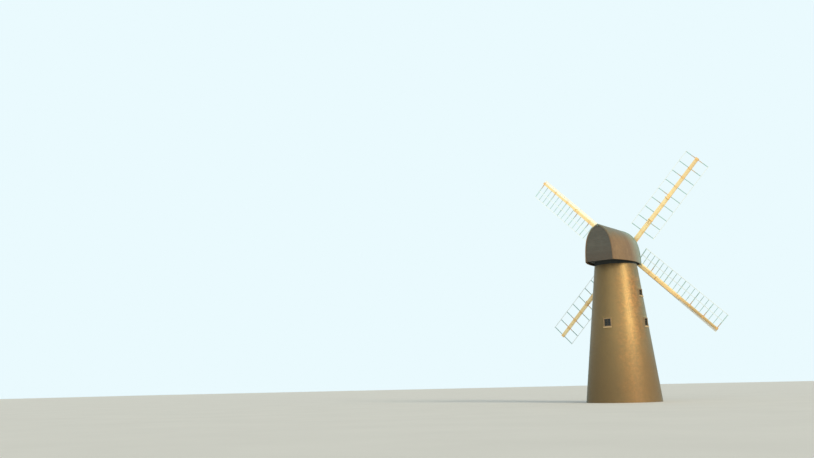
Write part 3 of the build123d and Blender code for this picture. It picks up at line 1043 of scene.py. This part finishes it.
def add_lap_board(heap, spans, place):
    """A lapped board, thicker at its foot, from its (low, high) spans across at its foot and its head."""
    (foot_low, foot_high, foot), (head_low, head_high, head) = spans
    points = [
        place(foot_low, 0, foot), place(foot_high, 0, foot),
        place(foot_high, LAP_FOOT, foot), place(foot_low, LAP_FOOT, foot),
        place(head_low, 0, head), place(head_high, 0, head),
        place(head_high, LAP_HEAD, head), place(head_low, LAP_HEAD, head),
    ]
    faces = [(0, 1, 2, 3), (7, 6, 5, 4), (3, 2, 6, 7), (1, 0, 4, 5), (0, 3, 7, 4), (2, 1, 5, 6)]
    heap.add(points, faces, random.random())


def half_hole(foot, head, radius):
    """How wide a hole of some radius round the hub's height is, to one side, between two heights."""
    off = 0 if foot < HUB.z < head else min(abs(foot - HUB.z), abs(head - HUB.z))
    return math.sqrt(radius**2 - off**2) if off < radius else 0


def lap_boards(place, place_along, hole_radius):
    """Lapped boards up a gable, cut off round a hole at the hub's height."""
    heap = Heap()
    foot = EAVES + BOARD_GAP
    top = EAVES + CAP_HEIGHT - GABLE_TOP_GAP
    while foot < top:
        head = min(foot + LAP_EXPOSURE + LAP_COVER, top)
        foot_half = inside_half_width(place_along(foot), foot)
        head_half = inside_half_width(place_along(head), head)
        clear = half_hole(foot, head, hole_radius)
        if clear:
            add_lap_board(heap, ((clear, foot_half, foot), (clear, head_half, head)), place)
            add_lap_board(heap, ((-foot_half, -clear, foot), (-head_half, -clear, head)), place)
        else:
            add_lap_board(heap, ((-foot_half, foot_half, foot), (-head_half, head_half, head)), place)
        foot += LAP_EXPOSURE
    return heap


def make_gable_boards():
    """Lapped boards on both gables, with a hole for the windshaft in the front one."""
    rear = lap_boards(rear_point, lambda height: -CAP_REAR, 0)
    rear.piece("rear_gable_boards", "gable_boards", "cap", "gable_boards")
    front = lap_boards(front_point, front_place, SHAFT_OPENING)
    front.piece("front_gable_boards", "gable_boards", "cap", "gable_boards")


# Windows and door

def sash_bars(sill, height, rows):
    """The stiles, rails and glazing bars of a sash, each by its left, right, bottom and top."""
    low = sill + SILL_THICKNESS + WINDOW_BAR
    high = sill + height - WINDOW_BAR
    half = WINDOW_WIDTH / 2 - WINDOW_BAR
    bars = [
        (-half, SASH_STILE - half, low, high),
        (half - SASH_STILE, half, low, high),
        (-half, half, low, low + SASH_STILE),
        (-half, half, high - SASH_STILE, high),
        (-GLAZING_BAR / 2, GLAZING_BAR / 2, low, high),
    ]
    for row in range(1, rows):
        middle = low + (high - low) * row / rows
        bars.append((-half, half, middle - GLAZING_BAR / 2, middle + GLAZING_BAR / 2))
    return bars


def make_windows():
    """A sash in each window, over its panes."""
    heap = Heap()
    for storey, height, rows, quarters in WINDOW_ROWS:
        sill = window_sill(storey)
        back = wall_radius(sill) - WINDOW_RECESS - WINDOW_DEPTH / 2
        front = back + SASH_DEPTH
        for quarter in quarters:
            turn = Matrix.Rotation(quarter * QUARTER_TURN, 4, "Z")
            for left, right, bottom, top in sash_bars(sill, height, rows):
                add_block(heap, (back, left, bottom), (front, right, top), SMALL_ARRIS, turn)
    heap.piece("window_sashes", "sash", "tower", "window_timber")


def make_door_boards(face, half, turn):
    """Upright boards over the closed door, between its foot and its head."""
    heap = Heap()
    low = DOOR_STEP + DOOR_BOARD_FOOT
    high = DOOR_HEAD - DOOR_POST
    width = 2 * half / DOOR_BOARDS
    for index in range(DOOR_BOARDS):
        left = index * width - half
        back = (face - DOOR_BOARD_ROOT, left + BOARD_GAP / 2, low)
        front = (face + DOOR_BOARD_PROUD, left + width - BOARD_GAP / 2, high)
        add_block(heap, back, front, SMALL_ARRIS, turn)
    heap.piece("door_boards", "door_timber", "tower", "door_timber")


def make_door_irons(face, half, turn):
    """Two strap hinges with a row of nuts each, and a latch with its handle."""
    heap = Heap()
    outward_turn = Matrix.Rotation(QUARTER_TURN, 4, "Y")
    for height in HINGE_HEIGHTS:
        end = (face + HINGE_PROUD, half - HINGE_SHORT_OF_EDGE, height + HINGE_WIDTH)
        add_block(heap, (face, -half, height), end, FINE_ARRIS, turn)
        for index in range(HINGE_NUTS):
            along = FIRST_HINGE_NUT - half + HINGE_NUT_SPACING * index
            seat = Matrix.Translation((face + HINGE_PROUD, along, height + HINGE_WIDTH / 2))
            add_nut(heap, turn @ seat @ outward_turn, (0, 0, 0), HINGE_NUT)
    for (back, left, low), (front, right, high) in LATCH_BLOCKS:
        near = (face + back, half - left, low)
        add_block(heap, near, (face + front, half - right, high), SMALL_ARRIS, turn)
    heap.piece("door_irons", "bearing_iron", "tower", "door_timber")


def make_door():
    """The boards and irons of the door, worked out in front of the +X axis and turned to its side."""
    face = wall_radius(DOOR_HEAD) - DOOR_RECESS
    half = DOOR_WIDTH / 2 - DOOR_POST
    turn = Matrix.Rotation(DOOR_BEARING, 4, "Z")
    make_door_boards(face, half, turn)
    make_door_irons(face, half, turn)


# Ironwork of the sails

def taper(start, end, share):
    """The size of something that tapers from start to end, by its share of the way."""
    return start + (end - start) * share


def add_clamp_nuts(heap, flat, seat):
    """Two nuts behind each clamp that holds a whip on its stock."""
    for place in CLAMP_PLACES:
        share = (place - STOCK_STRAIGHT / 2) / (STOCK_LENGTH / 2 - STOCK_STRAIGHT / 2)
        back = seat - taper(STOCK_DEPTH, STOCK_END_DEPTH, share) - CLAMP_THICKNESS
        for side in (-CLAMP_NUT_SIDE, CLAMP_NUT_SIDE):
            behind = Matrix.Translation((place, side, back)) @ Matrix.Rotation(math.pi, 4, "X")
            add_nut(heap, flat @ behind, (0, 0, 0), CLAMP_NUT)


def add_bar_plates(heap, flat, seat, sail):
    """A plate behind a whip at each heavy bar beyond the end of its stock."""
    width, tip_width = WHIP_WIDTHS[sail]
    spacing = HEAVY_SPACING[sail]
    for index in range(math.ceil((LAST_BAR - STOCK_LENGTH / 2) / spacing)):
        place = LAST_BAR - index * spacing
        share = (place - WHIP_START) / (SAIL_RADIUS - WHIP_START)
        half = taper(width, tip_width, share) / 2
        low = (place - PLATE_HALF_LENGTH, -half, seat - PLATE_THICKNESS)
        high = (place + PLATE_HALF_LENGTH, half, seat)
        add_block(heap, low, high, FINE_ARRIS, flat)


def make_sail_irons():
    """The nuts of the clamps and the plates behind the whips."""
    nuts = Heap()
    plates = Heap()
    for quarter, sail in enumerate(SAILS):
        flat = sail_frame(quarter * QUARTER_TURN)
        seat = STOCK_LEVELS[sail] + STOCK_DEPTH / 2
        add_clamp_nuts(nuts, flat, seat)
        add_bar_plates(plates, flat, seat, sail)
    nuts.piece("sail_nuts", "bearing_iron", "sails", "bearing_iron")
    plates.piece("bar_plates", "rusty_cream", "sails", "bearing_iron")


def make_poll_irons():
    """Bands round the poll end and a bolted plate on its nose."""
    heap = Heap()
    flat = sail_frame(0)
    half = POLL_SIZE / 2
    for low in (-POLL_HALF_LENGTH, POLL_HALF_LENGTH - BAND_WIDTH):
        for quarter in range(4):
            turn = flat @ Matrix.Rotation(quarter * QUARTER_TURN, 4, "Z")
            end = (half + BAND_THICKNESS, half, low + BAND_WIDTH)
            add_block(heap, (half, -half - BAND_THICKNESS, low), end, SMALL_ARRIS, turn)
    nose = POLL_HALF_LENGTH + NOSE_THICKNESS
    add_block(
        heap, (-NOSE_HALF, -NOSE_HALF, POLL_HALF_LENGTH), (NOSE_HALF, NOSE_HALF, nose), WIDE_ARRIS, flat)
    for x in (-NOSE_NUT_PLACE, NOSE_NUT_PLACE):
        for y in (-NOSE_NUT_PLACE, NOSE_NUT_PLACE):
            add_nut(heap, flat, (x, y, nose), NOSE_NUT)
    heap.piece("poll_irons", "bearing_iron", "sails", "bearing_iron")


def make_stock_wedges():
    """Two wedges beside each stock where it leaves the poll end."""
    heap = Heap()
    flat = sail_frame(0)
    half = POLL_SIZE / 2
    edge = STOCK_WIDTH / 2
    for quarter, sail in enumerate(SAILS):
        turn = flat @ Matrix.Rotation(quarter * QUARTER_TURN, 4, "Z")
        low = STOCK_LEVELS[sail] - WEDGE_HALF_HEIGHT
        high = STOCK_LEVELS[sail] + WEDGE_HALF_HEIGHT
        for left, right in ((-edge - WEDGE_WIDTH, -edge), (edge, edge + WEDGE_WIDTH)):
            end = (half + WEDGE_PROUD, right, high)
            add_block(heap, (half - WEDGE_ROOT, left, low), end, WIDE_ARRIS, turn)
    heap.piece("stock_wedges", "frame_timber", "sails", "shaft_timber")


# Camera, lights and floor

BACKDROP = linear(234, 250, 254)
FLOOR_SHADES = ((230, 227, 219), (234, 231, 223))


def make_camera():
    """The photograph's camera, from its place, heading, pitch and roll."""
    data = bpy.data.cameras.new("camera")
    data.sensor_width = SENSOR_WIDTH
    data.lens = FOCAL_PIXELS / PHOTO_WIDTH * SENSOR_WIDTH
    data.clip_end = CAMERA_REACH
    camera = bpy.data.objects.new("camera", data)
    scene.collection.objects.link(camera)
    heading = Vector((-math.sin(CAMERA_HEADING), math.cos(CAMERA_HEADING), 0))
    right = Vector((heading.y, -heading.x, 0))
    forward = heading * math.cos(CAMERA_PITCH) + Vector((0, 0, math.sin(CAMERA_PITCH)))
    up = right.cross(forward)
    level_right = right * math.cos(CAMERA_ROLL) + up * math.sin(CAMERA_ROLL)
    level_up = up * math.cos(CAMERA_ROLL) - right * math.sin(CAMERA_ROLL)
    turn = Matrix((level_right, level_up, -forward)).transposed()
    camera.matrix_world = Matrix.Translation(CAMERA_PLACE) @ turn.to_4x4()
    scene.camera = camera


def make_lamp(name, azimuth, elevation, strength, softness, colour):
    """A distant lamp that shines from an azimuth and an elevation, in degrees."""
    data = bpy.data.lights.new(name, "SUN")
    data.energy = strength
    data.angle = math.radians(softness)
    data.color = colour
    lamp = bpy.data.objects.new(name, data)
    scene.collection.objects.link(lamp)
    side = math.radians(azimuth)
    lift = math.radians(elevation)
    source = Vector((math.cos(side) * math.cos(lift), math.sin(side) * math.cos(lift), math.sin(lift)))
    lamp.matrix_world = source.to_track_quat("Z", "Y").to_matrix().to_4x4()


def make_world():
    """Light from the sky, and a pale backdrop where it is seen, reflected or looked at through glass."""
    world = bpy.data.worlds.new("studio")
    scene.world = world
    world.use_nodes = True
    nodes = world.node_tree.nodes
    links = world.node_tree.links
    background = nodes["Background"]
    background.inputs["Color"].default_value = SKY_LIGHT
    background.inputs["Strength"].default_value = SKY_STRENGTH
    backdrop = nodes.new("ShaderNodeBackground")
    backdrop.inputs["Color"].default_value = BACKDROP
    path = nodes.new("ShaderNodeLightPath")
    seen = path.outputs["Is Camera Ray"]
    for ray in ("Is Glossy Ray", "Is Transmission Ray"):
        either = nodes.new("ShaderNodeMath")
        either.operation = "MAXIMUM"
        links.new(seen, either.inputs[0])
        links.new(path.outputs[ray], either.inputs[1])
        seen = either.outputs[0]
    mix = nodes.new("ShaderNodeMixShader")
    links.new(seen, mix.inputs["Fac"])
    links.new(background.outputs[0], mix.inputs[1])
    links.new(backdrop.outputs[0], mix.inputs[2])
    links.new(mix.outputs[0], nodes["World Output"].inputs["Surface"])


def make_floor():
    """A wide pale floor just under the tower."""
    mesh = bpy.data.meshes.new("floor")
    signs = [(-1, -1), (1, -1), (1, 1), (-1, 1)]
    corners = [(x * FLOOR_HALF, y * FLOOR_HALF, FLOOR_LEVEL) for x, y in signs]
    mesh.from_pydata(corners, [], [(0, 1, 2, 3)])
    floor = bpy.data.objects.new("floor", mesh)
    scene.collection.objects.link(floor)
    shader = Shader("floor", roughness=0.9)
    shader.base(shader.between(shader.noise(0.2, 3), *FLOOR_SHADES))
    mesh.materials.append(shader.material)


dress_nodes()
make_brick_skin()
make_roof_boards()
make_gable_boards()
make_windows()
make_door()
make_sail_irons()
make_poll_irons()
make_stock_wedges()
make_camera()
make_floor()
make_world()
for name, settings in LAMPS.items():
    make_lamp(name, *settings)
scene.view_settings.view_transform = "Standard"
